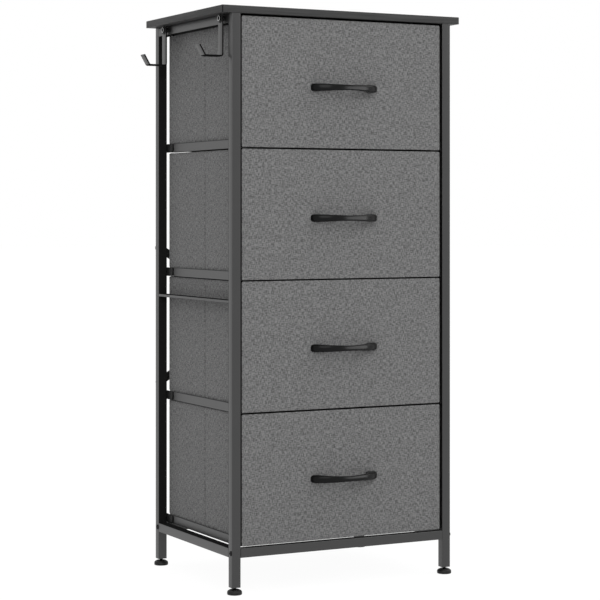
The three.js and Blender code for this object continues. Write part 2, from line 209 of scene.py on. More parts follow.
def wood_foil():
    fixed = {"IOR": 1.46, "Specular_IOR_Level": 0.12}
    material, tree, surface = finish("dark_wood_foil", "#383838", 0.5, **fixed)
    position = add(tree, "ShaderNodeTexCoord").outputs["Object"]
    normal = add(tree, "ShaderNodeNewGeometry").outputs["Normal"]
    x, y, z = add(tree, "ShaderNodeSeparateXYZ", {0: position}).outputs
    lying = calculate(tree, "ABSOLUTE", add(tree, "ShaderNodeSeparateXYZ", {0: normal}).outputs[Z])
    standing = calculate(tree, "SUBTRACT", 1.0, lying)
    along = calculate(tree, "ADD", x, calculate(tree, "MULTIPLY", y, standing))
    across = calculate(tree, "MULTIPLY", y, lying)
    stretch = zip((along, z, across), (FIBRE_LENGTH, FIBRE_WIDTH, FIBRE_WIDTH))
    scaled = {i: calculate(tree, "DIVIDE", way, span) for i, (way, span) in enumerate(stretch)}
    fibre = output(tree, "ShaderNodeCombineXYZ", scaled)
    figure = grain(tree, 1.0, fibre, detail=6.0, roughness=0.65)
    _, _, middle, size = measured("top_board")

    def inward(place, axis):
        """How far a point is from the nearer edge across an axis."""
        off = calculate(tree, "ABSOLUTE", calculate(tree, "SUBTRACT", place, middle[axis]))
        return calculate(tree, "SUBTRACT", size[axis] / 2, off)

    inside = calculate(tree, "ADD", inward(x, X), inward(y, Y))
    clear = calculate(tree, "GREATER_THAN", inside, SEAM)
    printed = shades(tree, figure, "#303030", "#4a4a4a", 0.3, 0.72)
    either = {"Factor": clear, "A": linear("#0c0c0c"), "B": printed}
    joint = add(tree, "ShaderNodeMix", either, data_type="RGBA").outputs["Result"]
    tree.links.new(joint, surface.inputs["Base Color"])
    bump(tree, surface, grain(tree, 0.35, fibre, detail=3.0), 0.06 * MM, 0.5)
    return material


FOIL = wood_foil()
print(FOIL.name)

# %% [markdown]
# ### Linen-look cloth
#
# The drawers are covered with a plain weave of grey polyester that imitates linen: some
# threads are thicker than others, and these slubs give short light and dark dashes in both
# directions. A real thread is about 0.5 mm, too fine to show in a render of this size, so
# the dashes are drawn about 1.2 mm wide and 6 mm long, and the plain weave under them
# has a pitch of 1.2 mm. The pattern follows the cloth, so it reads the piece's own UV map,
# which the cloth pieces get in metres.

# %% Linen
SLUB_LENGTH, SLUB_WIDTH = 6 * MM, 1.2 * MM
WEAVE_PITCH = 1.2 * MM
WAVE_TURNS = 20 / (2 * math.pi)  # how often a Wave texture repeats in a unit at scale 1


def linen(name, dark, light):
    fixed = {"Specular_IOR_Level": 0.25, "Sheen_Weight": 0.08, "Sheen_Roughness": 0.5}
    material, tree, surface = finish(name, light, 0.92, IOR=1.45, **fixed)
    cloth = output(tree, "ShaderNodeUVMap", uv_map="cloth")

    def threads(along_u, along_v):
        scale = (1 / along_u, 1 / along_v, 1)
        laid = output(tree, "ShaderNodeMapping", {"Vector": cloth, "Scale": scale})
        return grain(tree, 1.0, laid, detail=0.0)

    def mean(a, b, share=0.5):
        both = {"Factor": share, "A": a, "B": b}
        return add(tree, "ShaderNodeMix", both, data_type="FLOAT").outputs["Result"]

    slubs = mean(threads(SLUB_WIDTH, SLUB_LENGTH), threads(SLUB_LENGTH, SLUB_WIDTH))
    patches = mean(slubs, grain(tree, 25 * MM, cloth), 0.08)
    paint(tree, surface, patches, dark, light, 0.38, 0.62)
    pitch = 1 / (WAVE_TURNS * WEAVE_PITCH)
    waves = {"Vector": cloth, "Scale": pitch, "Distortion": 1.5, "Detail": 1.0}
    weave = [
        add(tree, "ShaderNodeTexWave", waves, bands_direction=direction).outputs["Fac"]
        for direction in ("X", "Y")
    ]
    below = bump(tree, surface, mean(*weave), 0.18 * MM, 0.5)
    bump(tree, surface, slubs, 0.25 * MM, 0.6, below)
    return material


LINEN = linen("linen_look_cloth", "#535353", "#7e7e7e")
print(LINEN.name)

# %% [markdown]
# ### Plastics, plated screws and thread
#
# The handles are ABS with a satin gloss, and the feet are nylon, moulded against a sparked
# tool that leaves them matt. The edge beads, whose black is painted shade, and the rail clips,
# whose black is partly painted shade, are the same nylon. Bolts, rivets and the board's screws
# are blackened steel and the handle screws zinc-plated, so all are metallic, with the slight
# cloud of a barrel-plated surface. The base boards and the lining are a pressed non-woven cloth
# with embossed dots. The black felt is painted shade in gaps and openings, and the near-black
# finish on the hook's narrow edges and under its tray is painted shade too.

# %% The other finishes
def moulded(name, colour, roughness, specular, texture_depth):
    material, tree, surface = finish(name, colour, roughness, IOR=1.5, Specular_IOR_Level=specular)
    bump(tree, surface, grain(tree, 0.6 * MM, detail=3.0), texture_depth, 0.4)
    return material


def plated(name, dark, light, roughness):
    material, tree, surface = finish(name, light, roughness, Metallic=1.0)
    paint(tree, surface, grain(tree, 3 * MM, detail=4.0), dark, light)
    bump(tree, surface, grain(tree, 0.3 * MM), 0.01 * MM, 0.5)
    return material


def non_woven(name, dark, light):
    material, tree, surface = finish(name, light, 0.95, IOR=1.45, Specular_IOR_Level=0.2)
    place = add(tree, "ShaderNodeTexCoord").outputs["Object"]
    pressed = {"Vector": place, "Scale": 1 / (2.5 * MM), "Randomness": 0.15}
    fibres = grain(tree, 5 * MM, detail=5.0, roughness=0.7)
    paint(tree, surface, fibres, dark, light)
    bump(tree, surface, output(tree, "ShaderNodeTexVoronoi", pressed), 0.25 * MM, 0.6)
    return material


ABS = moulded("satin_black_abs", "#0d0d0d", 0.2, 0.1, 0.01 * MM)
NYLON = moulded("matt_black_nylon", "#111111", 0.5, 0.25, 0.03 * MM)
BLACK_STEEL = plated("blackened_steel", "#1c1c1c", "#2a2a2a", 0.38)
ZINC = plated("zinc_plated_steel", "#8e8e8e", "#a6a6a6", 0.35)
LINING = non_woven("non_woven_lining", "#404040", "#4e4e4e")
THREAD = moulded("polyester_sewing_thread", "#585858", 0.8, 0.3, 0.05 * MM)
# black felt: painted shade in the gaps round the fronts, on the bins' front rims and in the frame's
# openings
PAINTED_SHADE_FELT = moulded("black_felt_tape", "#1e1e1e", 1.0, 0.02, 0.15 * MM)
# near-black finish: painted shade on the hook's narrow edges and under its tray
HOOK_EDGE_SHADE = moulded("dark_oxide_on_sheared_steel", "#131313", 0.9, 0.04, 0.02 * MM)
print([m.name for m in (ABS, NYLON, BLACK_STEEL, ZINC, LINING, THREAD, PAINTED_SHADE_FELT, HOOK_EDGE_SHADE)])

# %% [markdown]
# ## Making a mesh from rings
#
# Most pieces here are lofts: a row of closed rings with the same number of points, joined
# by quads, with a cap at each end. A foot is a loft of circles, a handle a loft of rounded
# sections, and a drawer bin a loft that climbs its outside, turns over the rim and goes
# down its inside. The same function writes the UV map in metres: round the ring one way
# and from ring to ring the other.

# %% Loft
def loft(name, rings, material, closed=False, sharp=40):
    """Joins rings of points. closed also joins the last ring to the first, without caps."""
    count = len(rings[0])
    shape = bmesh.new()
    layer = shape.loops.layers.uv.new("cloth")
    points = [[shape.verts.new(p) for p in ring] for ring in rings]
    round_ring = [0.0]
    for i in range(count):
        step = (Vector(rings[0][(i + 1) % count]) - Vector(rings[0][i])).length
        round_ring.append(round_ring[-1] + step)
    pairs = list(zip(points, points[1:])) + ([(points[-1], points[0])] if closed else [])
    travelled = 0.0
    for a, b in pairs:
        rise = (a[0].co - b[0].co).length
        for i in range(count):
            j = (i + 1) % count
            face = shape.faces.new((a[i], a[j], b[j], b[i]))
            corners = ((i, 0), (i + 1, 0), (i + 1, 1), (i, 1))
            for loop, (k, up) in zip(face.loops, corners):
                loop[layer].uv = (round_ring[k], travelled + up * rise)
        travelled += rise
    if not closed:
        for ring in (list(reversed(points[0])), points[-1]):
            cap = shape.faces.new(ring)
            cap.normal_update()
            thin = max(range(3), key=lambda axis: abs(cap.normal[axis]))
            u, v = [axis for axis in range(3) if axis != thin]
            for loop in cap.loops:
                loop[layer].uv = (loop.vert.co[u], loop.vert.co[v])
    bmesh.ops.recalc_face_normals(shape, faces=shape.faces)
    mesh = bpy.data.meshes.new(name)
    shape.to_mesh(mesh)
    shape.free()
    return place(name, mesh, material, sharp)


def place(name, mesh, material, sharp=40):
    """Puts a finished mesh in the scene, smooth except along edges sharper than an angle."""
    mesh.name = name
    mesh.materials.clear()
    mesh.materials.append(material)
    mesh.shade_smooth()
    mesh.set_sharp_from_angle(angle=math.radians(sharp))
    return show(name, mesh)


def belongs(piece, body, slot, *nodes):
    """The piece rides on a body and hides the CAD nodes that it stands for. The slot is not used.
    """
    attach(piece, body)
    if nodes:
        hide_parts(*nodes)
    return piece


def rounded_ring(width, depth, radius, steps=4):
    """The points (u, v) of a rounded rectangle round the origin."""
    points = []
    for quarter, (right, up) in enumerate(((1, 1), (-1, 1), (-1, -1), (1, -1))):
        for k in range(steps + 1):
            angle = (quarter + k / steps) * math.pi / 2
            u = right * (width / 2 - radius) + radius * math.cos(angle)
            v = up * (depth / 2 - radius) + radius * math.sin(angle)
            points.append((u, v))
    return points


print("loft ready")

# %% [markdown]
# ## Square tube
#
# The frame is cold-rolled square tube: a steel strip is bent and welded, so its corners are
# round, about a millimetre here, and a cut end shows the wall. The CAD tubes have sharp corners,
# which never catch a highlight. A tube follows one rule, so Geometry Nodes make it: two
# rounded rectangles, one inside the other, are filled and extruded. The tree works along Z,
# and a matrix then lays the result along the axis that the tube runs.

# %% Tube tree
def new_tree(name, *inputs):
    """An empty Geometry Nodes tree with named float inputs, and its first and last node."""
    tree = bpy.data.node_groups.new(name, "GeometryNodeTree")
    for label in inputs:
        tree.interface.new_socket(label, in_out="INPUT", socket_type="NodeSocketFloat")
    tree.interface.new_socket("Geometry", in_out="OUTPUT", socket_type="NodeSocketGeometry")
    return tree, add(tree, "NodeGroupInput").outputs, add(tree, "NodeGroupOutput")


def tube_tree():
    labels = "Width", "Depth", "Length", "Corner", "Hole Width", "Hole Depth", "Hole Corner"
    tree, given, result = new_tree("square_tube", *labels)
    both = add(tree, "GeometryNodeJoinGeometry")
    for part in ("", "Hole "):
        size = {"Width": given[part + "Width"], "Height": given[part + "Depth"]}
        flat = output(tree, "GeometryNodeCurvePrimitiveQuadrilateral", size)
        rounding = {"Curve": flat, "Radius": given[part + "Corner"], "Count": 5}
        rounded = output(tree, "GeometryNodeFilletCurve", rounding, mode="POLY")
        tree.links.new(rounded, both.inputs[0])
    section = output(tree, "GeometryNodeFillCurve", {"Curve": both.outputs[0]})
    rise = output(tree, "ShaderNodeCombineXYZ", {"Z": given["Length"]})
    pushed = {"Mesh": section, "Offset": rise, "Offset Scale": 1.0, "Individual": False}
    wall = output(tree, "GeometryNodeExtrudeMesh", pushed)
    base = output(tree, "GeometryNodeFlipFaces", {"Mesh": section})
    whole = add(tree, "GeometryNodeJoinGeometry")
    for part in (wall, base):
        tree.links.new(part, whole.inputs[0])
    joined = {"Geometry": whole.outputs[0], "Distance": 1e-6}
    tree.links.new(output(tree, "GeometryNodeMergeByDistance", joined), result.inputs[0])
    return tree


def grow(tree, name, **inputs):
    """Runs a tree on an empty object and returns its result as a plain mesh."""
    seed = show(name, bpy.data.meshes.new(name))
    modifier = seed.modifiers.new(name, "NODES")
    modifier.node_group = tree
    for item in tree.interface.items_tree:
        if item.in_out == "INPUT":
            modifier[item.identifier] = inputs[item.name.lower().replace(" ", "_")]
    seed.update_tag()
    seen = seed.evaluated_get(bpy.context.evaluated_depsgraph_get())
    mesh = bpy.data.meshes.new_from_object(seen)
    seed.modifiers.remove(modifier)
    bpy.data.objects.remove(seed)
    return mesh


TUBE = tube_tree()
print("tube tree has", len(TUBE.nodes), "nodes")

# %% [markdown]
# Every tube of the frame goes through the same function. It reads the box of its CAD node,
# so the length, the section and the place are those of the frame.

# %% Tubes of the frame
WALL = 1.2 * MM
CORNER = 0.9 * MM
INNER_CORNER = 0.3 * MM


def tube(node, axis):
    low, _, start, size = measured(node)
    start[axis] = low[axis]
    a, b = (axis + 1) % 3, (axis + 2) % 3
    mesh = grow(
        TUBE,
        node + "_tube",
        width=size[a],
        depth=size[b],
        length=size[axis],
        corner=CORNER,
        hole_width=size[a] - 2 * WALL,
        hole_depth=size[b] - 2 * WALL,
        hole_corner=INNER_CORNER,
    )
    turn = Matrix.Identity(4)
    for column, direction in enumerate((a, b, axis)):
        for row in range(3):
            turn[row][column] = 1.0 if row == direction else 0.0
    mesh.transform(Matrix.Translation(start) @ turn)
    return belongs(place(node + "_tube", mesh, STEEL, 30), "frame", "steel", node)


tubes = [tube(corner + "_post", Z) for corner in CORNERS]
tubes += [tube(f"{side}_{level}_bar", Y) for side in SIDES for level in ("top", "bottom")]
tubes += [tube(end + "_bottom_bar", X) for end in ("front", "rear")]
print(len(tubes), "tubes,", sum(len(t.data.polygons) for t in tubes), "faces")

# %% [markdown]
# ## Nylon plugs
#
# A plug closes the lower end of each post and takes the foot's stem. It is the same tree
# again: its hole is a rounded rectangle whose corners are so large that it is a circle.

# %% Plugs
PLUG_THICKNESS = 4 * MM
PLUG_PLAY = 0.1 * MM
PLUG_DEPTH = 0.4 * MM  # how far up the post it sits
STEM_HOLE = 6.6 * MM


def plug(corner):
    low, _, middle, size = measured(corner + "_post")
    mesh = grow(
        TUBE,
        corner + "_plug",
        width=size.x - 2 * WALL - PLUG_PLAY,
        depth=size.y - 2 * WALL - PLUG_PLAY,
        length=PLUG_THICKNESS,
        corner=INNER_CORNER,
        hole_width=STEM_HOLE,
        hole_depth=STEM_HOLE,
        hole_corner=STEM_HOLE / 2 * 0.999,
    )
    mesh.transform(Matrix.Translation((middle.x, middle.y, low.z + PLUG_DEPTH)))
    return belongs(place(corner + "_plug", mesh, NYLON), "frame", "foot")


print([plug(corner).name for corner in CORNERS])

# %% [markdown]
# ## Levelling feet
#
# A foot is turned in effect: a nylon dome moulded round a threaded stem. Its profile is a
# list of radius and height, and the loft of circles through it is the foot. The thread is
# drawn as ridges a millimetre apart, the pitch of an M6 screw, on the length of stem that
# can come out of the post.

# %% Feet
def circle(centre, radius, axis, along, segments):
    """A ring round an axis through a point."""
    a, b = (axis + 1) % 3, (axis + 2) % 3
    ring = []
    for k in range(segments):
        angle = 2 * math.pi * k / segments
        point = list(centre)
        point[a] += radius * math.cos(angle)
        point[b] += radius * math.sin(angle)
        point[axis] += along
        ring.append(point)
    return ring


def turned(name, centre, axis, profile, material, segments=48, sharp=40, closed=False):
    """A lathed piece. Its profile is a list of radius and distance along the axis."""
    rings = [circle(centre, radius, axis, along, segments) for radius, along in profile]
    return loft(name, rings, material, closed, sharp)


def arc(middle, radius, start, end, steps):
    """Points of a profile's arc, angles in degrees from the axis of the radius."""
    turns = [math.radians(start + (end - start) * k / steps) for k in range(steps + 1)]
    return [(middle[0] + radius * math.cos(t), middle[1] + radius * math.sin(t)) for t in turns]


FOOT_EDGE = 1.2 * MM
FOOT_TOP = 8.8 * MM
STEM_RADIUS = 3 * MM
THREAD_PITCH = 1.0 * MM
THREAD_DEPTH = 0.45 * MM
DOME = ((0, 4.2), (0.35, 5.3), (1.2, 6.4), (3.2, 7.7), (5, 8.4), (6.2, 8.75), (6.9, 8.6))


def foot(corner):
    _, high, middle, size = measured(corner + "_levelling_foot")
    centre = (middle.x, middle.y, 0)
    radius, neck = size.x / 2, FOOT_TOP - 0.7 * MM
    profile = [(radius - FOOT_EDGE, 0)]
    profile += arc((radius - FOOT_EDGE, FOOT_EDGE), FOOT_EDGE, -70, 0, 4)
    profile += [(radius - back * MM, up * MM) for back, up in DOME]
    profile += [(STEM_RADIUS + 1.2 * MM, neck), (STEM_RADIUS + 0.2 * MM, neck)]
    dome = turned(corner + "_foot", centre, Z, profile, NYLON)
    belongs(dome, f"{corner}_foot", "foot", corner + "_levelling_foot")
    root = STEM_RADIUS - THREAD_DEPTH
    thread = [(root, FOOT_TOP - THREAD_PITCH)]
    while thread[-1][1] < high.z - THREAD_PITCH:
        base = thread[-1][1]
        thread += [(STEM_RADIUS, base + THREAD_PITCH / 2), (root, base + THREAD_PITCH)]
    screw = turned(corner + "_stem", centre, Z, thread, BLACK_STEEL, 24, 80)
    return belongs(screw, f"{corner}_foot", "bolt")


print([foot(corner).name for corner in CORNERS])

# %% [markdown]
# ## Fabric bins
#
# A bin is board panels sewn into cloth: straight walls, corners rounded by the cloth, a
# hem round the rim, and one crease down the middle of each side where the bin folds flat.
# A cloth simulation would hardly move it, because the boards hold it straight, so the walls
# are shaped in code: the plan outline is walked once, and each height of the loft moves its
# points inwards for the crease, the hem's seam and a slow wave in the cloth. Only the
# corners and the rear wall are pushed outwards, above the rails' stops, because the rails
# are less than two millimetres away. The rim is bound by hand and never level: it stands
# under a millimetre higher at the front and on the right. Where it lies behind the front
# panel it is painted shade: black felt, so the gap between two fronts stays dark.

# %% Plan of a bin
FOLD_FROM_FRONT, FOLD_WIDTH, FOLD_DEPTH = 135.5 * MM, 2.3 * MM, 2.5 * MM
BIN_CORNER = 4 * MM
BIN_WALL = 3 * MM
BIN_FLOOR = 2.4 * MM
BIN_STEP = 6 * MM
HEM, HEM_WIDTH, HEM_DEPTH = 12 * MM, 1.5 * MM, 0.3 * MM  # its height, and its seam's groove
RIM_RISE, RIM_SAG = 0.7 * MM, 0.55 * MM
CORNER_PUSH = 1.5 * MM  # how far the boards' corners push the cloth out of its round
REAR_BULGE = 1.0 * MM  # how far the rear wall stands behind the CAD's
STOP_TOP = 11.5 * MM  # the rails' rear stops end below this height over a bin's floor
STOP_EASE = 3.5 * MM  # and over this height the push grows above them
WAVE_DEPTH, WAVES_ALONG, WAVES_UP = 0.35 * MM, 14, 9  # of the cloth, per metre
WAVE_EASE = 12 * MM  # over this height the wave grows from the floor and fades to the rim
# the front of this rim band gets black felt, which is painted shade
RIM_EDGE = 4 * MM  # the part of the rim without a wave, and with tape at the front


def walk(low, high, corner, step, stops):
    """The plan outline of a bin from the middle of its front: points and outward normals.
    stops are places along a side that get a point of their own."""
    middle = (low.x + high.x) / 2
    left, right, front, rear = low.x + corner, high.x - corner, low.y + corner, high.y - corner
    outline = []

    def straight(start, end, normal, extra=()):
        length = math.dist(start, end)
        count = max(1, round(length / step))
        shares = {k / count for k in range(count)} | {abs(s - start[1]) / length for s in extra}
        for share in sorted(shares):
            at = [p + (q - p) * share for p, q in zip(start, end)]
            outline.append((Vector((*at, 0)), Vector(normal)))

    def bend(centre, start):
        for k in range(5):
            angle = math.radians(start + 90 * k / 4)
            outwards = Vector((math.cos(angle), math.sin(angle), 0))
            outline.append((Vector((*centre, 0)) + corner * outwards, outwards))

    straight((middle, low.y), (right, low.y), (0, -1, 0))
    bend((right, front), -90)
    straight((high.x, front), (high.x, rear), (1, 0, 0), stops)
    bend((right, rear), 0)
    straight((right, high.y), (left, high.y), (0, 1, 0))
    bend((left, rear), 90)
    straight((low.x, rear), (low.x, front), (-1, 0, 0), stops)
    bend((left, front), 180)
    straight((left, low.y), (middle, low.y), (0, -1, 0))
    kept = [outline[0]]
    for point, normal in outline[1:]:
        if (point - kept[-1][0]).length > HAIR:
            kept.append((point, normal))
    return kept


low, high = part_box("drawer_1_bin")
print(len(walk(low, high, BIN_CORNER, BIN_STEP, ())), "points round a bin")

# %% [markdown]
# The loft climbs the outside, turns over the rim on a half circle and goes down the inside
# to the floor. A groove is a short smooth dip: it is deepest at its middle and gone one
# width away.

# %% Bins
def clamp(share):
    return min(1.0, max(0.0, share))


def dip(distance, width, depth):
    share = clamp(abs(distance) / width)
    return depth * (1 - share * share * (3 - 2 * share))


def lift(normal):
    """The bound rim stands higher at the front and on the right, and sags on the left."""
    return RIM_RISE * max(normal.x, -normal.y, 0.0) - RIM_SAG * max(-normal.x, 0.0)


def bin_profile(low, high):
    """Insets and heights up the outside, over the rim and down the inside."""
    hem, floor, half = high.z - HEM, low.z + BIN_FLOOR, BIN_WALL / 2
    turn = [math.radians(a) for a in (20, 45, 70, 90)]
    bottom = [(BIN_FLOOR * (1 - math.sin(t)), low.z + BIN_FLOOR * (1 - math.cos(t))) for t in turn]
    climb = {z for z in (low.z + 6 * MM + k * 9 * MM for k in range(22)) if z < hem - 4 * MM}
    climb |= {hem + d * MM for d in (-1.5, -0.7, 0, 0.7, 1.5, 6)} | {low.z + STOP_TOP}
    turn = [math.radians(a) for a in range(0, 181, 30)]
    rim = [(half - half * math.cos(t), high.z - half + half * math.sin(t)) for t in turn]
    inner = [(BIN_WALL, z) for z in (high.z - 20 * MM, high.z - 110 * MM, floor + 3 * MM)]
    inner += [(BIN_WALL + 1.0 * MM, floor + 0.6 * MM), (BIN_WALL + 3 * MM, floor)]
    return bottom + [(0.0, z) for z in sorted(climb)] + rim + inner


def fabric_bin(level):
    name = f"drawer_{level}_bin"
    low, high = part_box(name)
    fold = low.y + FOLD_FROM_FRONT
    stops = [fold + offset * MM for offset in (-2.3, -1.5, -0.8, -0.2, 0, 0.2, 0.8, 1.5, 2.3)]
    plan = walk(low, high, BIN_CORNER, BIN_STEP, stops)
    rings = []
    for inset, z in bin_profile(low, high):
        ring = []
        free = clamp((z - low.z - STOP_TOP) / STOP_EASE)
        eased = clamp((z - low.z) / WAVE_EASE) * clamp((high.z - RIM_EDGE - z) / WAVE_EASE)
        near_rim = clamp(1 + (z - high.z) / HEM)
        for point, normal in plan:
            move = inset
            corner = 2 * abs(normal.x * normal.y)
            if inset < BIN_WALL / 2:
                along = point * WAVES_ALONG
                wave = noise.noise(Vector((along.x, along.y, z * WAVES_UP + level)))
                move += eased * (1 - corner) * WAVE_DEPTH * (1 + wave)
                if abs(normal.x) > 0.9:
                    move += eased * dip(point.y - fold, FOLD_WIDTH, FOLD_DEPTH)
                if normal.y > -0.9:
                    move += dip(z - high.z + HEM, HEM_WIDTH, HEM_DEPTH)
            move -= free * CORNER_PUSH * corner * max(0.0, 1 - inset / BIN_WALL)
            back = free * REAR_BULGE * max(0.0, normal.y)
            up = near_rim * lift(normal)
            ring.append((point.x - normal.x * move, point.y - normal.y * move + back, z + up))
        rings.append(ring)
    cloth = loft(name + "_cloth", rings, LINEN, sharp=55)
    cloth.data.materials.append(LINING)
    cloth.data.materials.append(PAINTED_SHADE_FELT)
    # faces inside get the lining; the front rim behind the front panel gets black felt, painted
    # shade in the gap between fronts
    for face in cloth.data.polygons:
        inside = all(
            low.x + 2 * MM < v.x < high.x - 2 * MM and low.y + 2 * MM < v.y < high.y - 2 * MM
            for v in (cloth.data.vertices[i].co for i in face.vertices)
        )
        if inside and face.center.z > low.z + 1.5 * MM:
            face.material_index = 1
        elif face.center.y < low.y + BIN_WALL + 0.2 * MM and face.center.z > high.z - RIM_EDGE:
            face.material_index = 2
    return belongs(cloth, f"drawer_{level}", "fabric", name)


bins = [fabric_bin(level) for level in LEVELS]
print([(b.name, len(b.data.polygons)) for b in bins])

# %% [markdown]
# ### Stitches along the hem
#
# The hem is sewn with a lock stitch: dashes of thread about 4 mm long with gaps of
# 1.6 mm. Geometry Nodes walk a curve along the seam, put a point every stitch and
# instance a small capsule there, turned along the curve. Realize Instances makes them real
# mesh.

# %% Stitch tree
def put_on_points(tree, result, material, inputs):
    """Puts an instance on each point, turns them into real mesh and gives it a material."""
    copies = output(tree, "GeometryNodeInstanceOnPoints", inputs)
    real = output(tree, "GeometryNodeRealizeInstances", {"Geometry": copies})
    painted = output(tree, "GeometryNodeSetMaterial", {"Geometry": real, "Material": material})
    tree.links.new(painted, result.inputs[0])
    return tree


def stitch_tree(path):
    tree, given, result = new_tree("hem_stitches", "Length", "Gap", "Thickness")
    line = add(tree, "GeometryNodeObjectInfo", {"Object": path}).outputs["Geometry"]
    spaced = {"Curve": line, "Length": calculate(tree, "ADD", given["Length"], given["Gap"])}
    points = add(tree, "GeometryNodeCurveToPoints", spaced, mode="LENGTH").outputs
    thread = output(tree, "GeometryNodeMeshUVSphere", {"Segments": 6, "Rings": 4, "Radius": 1.0})
    thick, half = given["Thickness"], calculate(tree, "MULTIPLY", given["Length"], 0.5)
    size = output(tree, "ShaderNodeCombineXYZ", {"X": thick, "Y": thick, "Z": half})
    dashes = {"Instance": thread, "Scale": size}
    dashes |= {name: points[name] for name in ("Points", "Rotation")}
    return put_on_points(tree, result, THREAD, dashes)


SEAM_START = 12 * MM  # behind the bin's front face
SEWN_IN = 0.6 * MM  # how deep the seam lies in the hem's groove


def hem_stitches(level):
    low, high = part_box(f"drawer_{level}_bin")
    name = f"drawer_{level}_hem_stitches"
    curve = bpy.data.curves.new(name, "CURVE")
    curve.dimensions = "3D"
    plan = walk(low, high, BIN_CORNER, 20 * MM, ())
    seam = [(point, normal) for point, normal in plan if point.y > low.y + SEAM_START]
    spline = curve.splines.new("POLY")
    spline.points.add(len(seam) - 1)
    for target, (point, normal) in zip(spline.points, seam):
        sewn = point - normal * SEWN_IN
        target.co = (sewn.x, sewn.y, high.z - HEM, 1)
    path = show(name + "_path", curve)
    mesh = grow(stitch_tree(path), name, length=4 * MM, gap=1.6 * MM, thickness=0.25 * MM)
    bpy.data.objects.remove(path)
    return belongs(place(name, mesh, THREAD, 80), f"drawer_{level}", "fabric")


stitches = [hem_stitches(level) for level in LEVELS]
print([(s.name, len(s.data.polygons)) for s in stitches])

# %% [markdown]
# ## Front panels
#
# Each front is a board wrapped in the same cloth. Wrapping rounds the edges and crowns the
# face by a fraction of a millimetre, which shows as a light line along the lower edge. The
# sides of the board get black felt, painted shade that keeps the gaps round a front dark. The
# loft goes through the thickness, from the back to the front, with rounded rectangles that
# shrink over the edge.

# %% Fronts
FRONT_PLAY = 0.7 * MM  # by which a front is narrower than the frame allows, on its right
SHORTER = (0.5 * MM, 0.1 * MM, 0.45 * MM, 0.0)  # and shorter, at its lower edge
BACK_EDGE = ((0.6, 0.0), (0.15, 0.125), (0.0, 0.35))  # insets and depths in millimetres
FRONT_EDGE = ((0.0, 1.0), (0.12, 0.62), (0.42, 0.26), (1.0, 0.08), (4.0, 0.0))


def front_panel(level):
    name = f"drawer_{level}_front_panel"
    low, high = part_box(name)
    high.x -= FRONT_PLAY
    low.z += SHORTER[level - 1]
    width, height = high.x - low.x, high.z - low.z
    middle = (low + high) / 2
    rings = []
    for face, inwards, edge in ((high.y, -MM, BACK_EDGE), (low.y, MM, FRONT_EDGE)):
        for inset, depth in edge:
            inset *= MM
            corner = max(0.6 * MM, 2.5 * MM - 0.3 * inset)
            ring = rounded_ring(width - 2 * inset, height - 2 * inset, corner, 3)
            y = face + inwards * depth
            rings.append([(middle.x + u, y, middle.z + v) for u, v in ring])
    panel = loft(name + "_cloth", rings, LINEN, sharp=60)
    panel.data.materials.append(PAINTED_SHADE_FELT)
    # the sides of the board take the black felt: painted shade in the gaps round the front
    for face in panel.data.polygons:
        face.material_index = int(abs(face.normal.y) < 0.2)
    return belongs(panel, f"drawer_{level}", "fabric", name)


panels = [front_panel(level) for level in LEVELS]
print([p.name for p in panels])

# %% [markdown]
# ## Base boards
#
# A stiff board covered with non-woven cloth lies loose in each bin and keeps its floor
# flat. It is a thin block with edges rounded by the cover.

# %% Boards
def slab(name, node, sections, corner, material, sharp=40):
    """A lying board: its plan at several heights, each time drawn in by an inset."""
    _, _, middle, size = measured(node)
    rings = []
    for inset, z in sections:
        ring = rounded_ring(size.x - 2 * inset, size.y - 2 * inset, corner)
        rings.append([(middle.x + u, middle.y + v, z) for u, v in ring])
    return loft(name, rings, material, sharp=sharp)


def base_board(level):
    name = f"drawer_{level}_base_board"
    low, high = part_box(name)
    soft = (high.z - low.z) / 2
    turn = [math.pi * (k / 6 - 0.5) for k in range(7)]
    sections = [
        (soft * (1 - math.cos(t)) + 0.01 * MM, low.z + soft * (1 + math.sin(t))) for t in turn
    ]
    cover = slab(name + "_cover", name, sections, 4 * MM, LINING)
    return belongs(cover, f"drawer_{level}", "base", name)


print([base_board(level).name for level in LEVELS])

# %% [markdown]
# ## Top board
#
# The top is cut from a foiled panel and its edges are banded, so they are nearly sharp: a
# loft through the thickness softens them by half a millimetre and rounds the corners.

# %% Top
def top_board():
    low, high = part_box("top_board")
    edge = ((2.0, 0.0), (0.5, 0.0), (0.15, 0.15), (0.0, 0.5))
    sections = [(inset * MM, low.z + up * MM) for inset, up in edge]
    sections += [(inset * MM, high.z - up * MM) for inset, up in reversed(edge)]
    board = slab("top_board_foiled", "top_board", sections, 1.5 * MM, FOIL, 50)
    return belongs(board, "frame", "board", "top_board")


print(top_board().name)

# %% [markdown]
# ## Bow handles
#
# The handle is one ABS moulding: two broad feet and a bow that gets thinner towards the
# middle. Seen from above, its outer and inner faces are two superellipses. A section plane
# walks along both, and at each stop the section is a rounded rectangle from one face to
# the other, 13 mm tall at the feet and 9 mm in the middle.

# %% Handles
OUTER_POWER, INNER_POWER = 1.8, 2.0
FOOT_LENGTH = 21 * MM
BOW_THICKNESS = 6.5 * MM
BOW_HEIGHT = 9 * MM
FLARE = 1.3  # the power by which the bow gets taller towards its feet
SQUARENESS = 3.6  # of a section: 2 is an ellipse, and more is squarer
PLAY_ASIDE = 0.25 * MM  # a handle's screws have play in the front's holes
PLAY_UP = (0.2 * MM, 0.1 * MM, 0.8 * MM, 0.7 * MM)


def superellipse(angle, across, up, power):
    """The point of a superellipse with two half axes at an angle."""
    c, s = math.cos(angle), math.sin(angle)
    u = math.copysign(across * abs(c) ** (2 / power), c)
    return u, math.copysign(up * abs(s) ** (2 / power), s)


